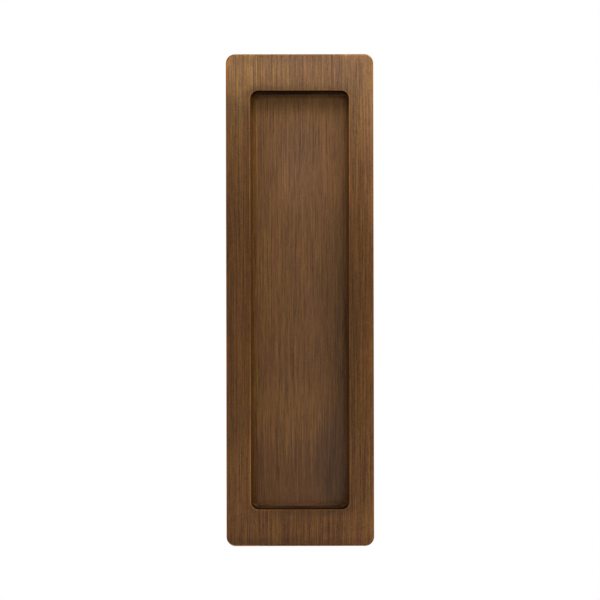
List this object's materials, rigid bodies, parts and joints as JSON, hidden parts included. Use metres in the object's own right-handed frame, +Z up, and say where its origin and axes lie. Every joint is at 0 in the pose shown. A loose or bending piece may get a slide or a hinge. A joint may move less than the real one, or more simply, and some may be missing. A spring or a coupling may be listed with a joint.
{
  "type": "pocket door pull",
  "caption": "Tall rectangular recessed pull for a pocket door: plate with rounded corners, deep finger recess, and threaded studs on its back.",
  "frame": {"origin": "centre of the plate's back face, which lies on the face of the door", "axes": "+Z up along the pull's height, +Y into the door, +X to the right as seen from the room"},
  "size_m": [0.0762, 0.0185, 0.254],
  "materials": {
    "dark_brushed_brass": "dark antique patina, brushed along the height, worn brighter at the edges",
    "stud_steel": "zinc plated thread"
  },
  "bodies": {
    "root": {"pull_body": "dark_brushed_brass", "stud_top_left": "stud_steel", "stud_top_right": "stud_steel", "stud_bottom_left": "stud_steel", "stud_bottom_right": "stud_steel"}
  },
  "joints": []
}
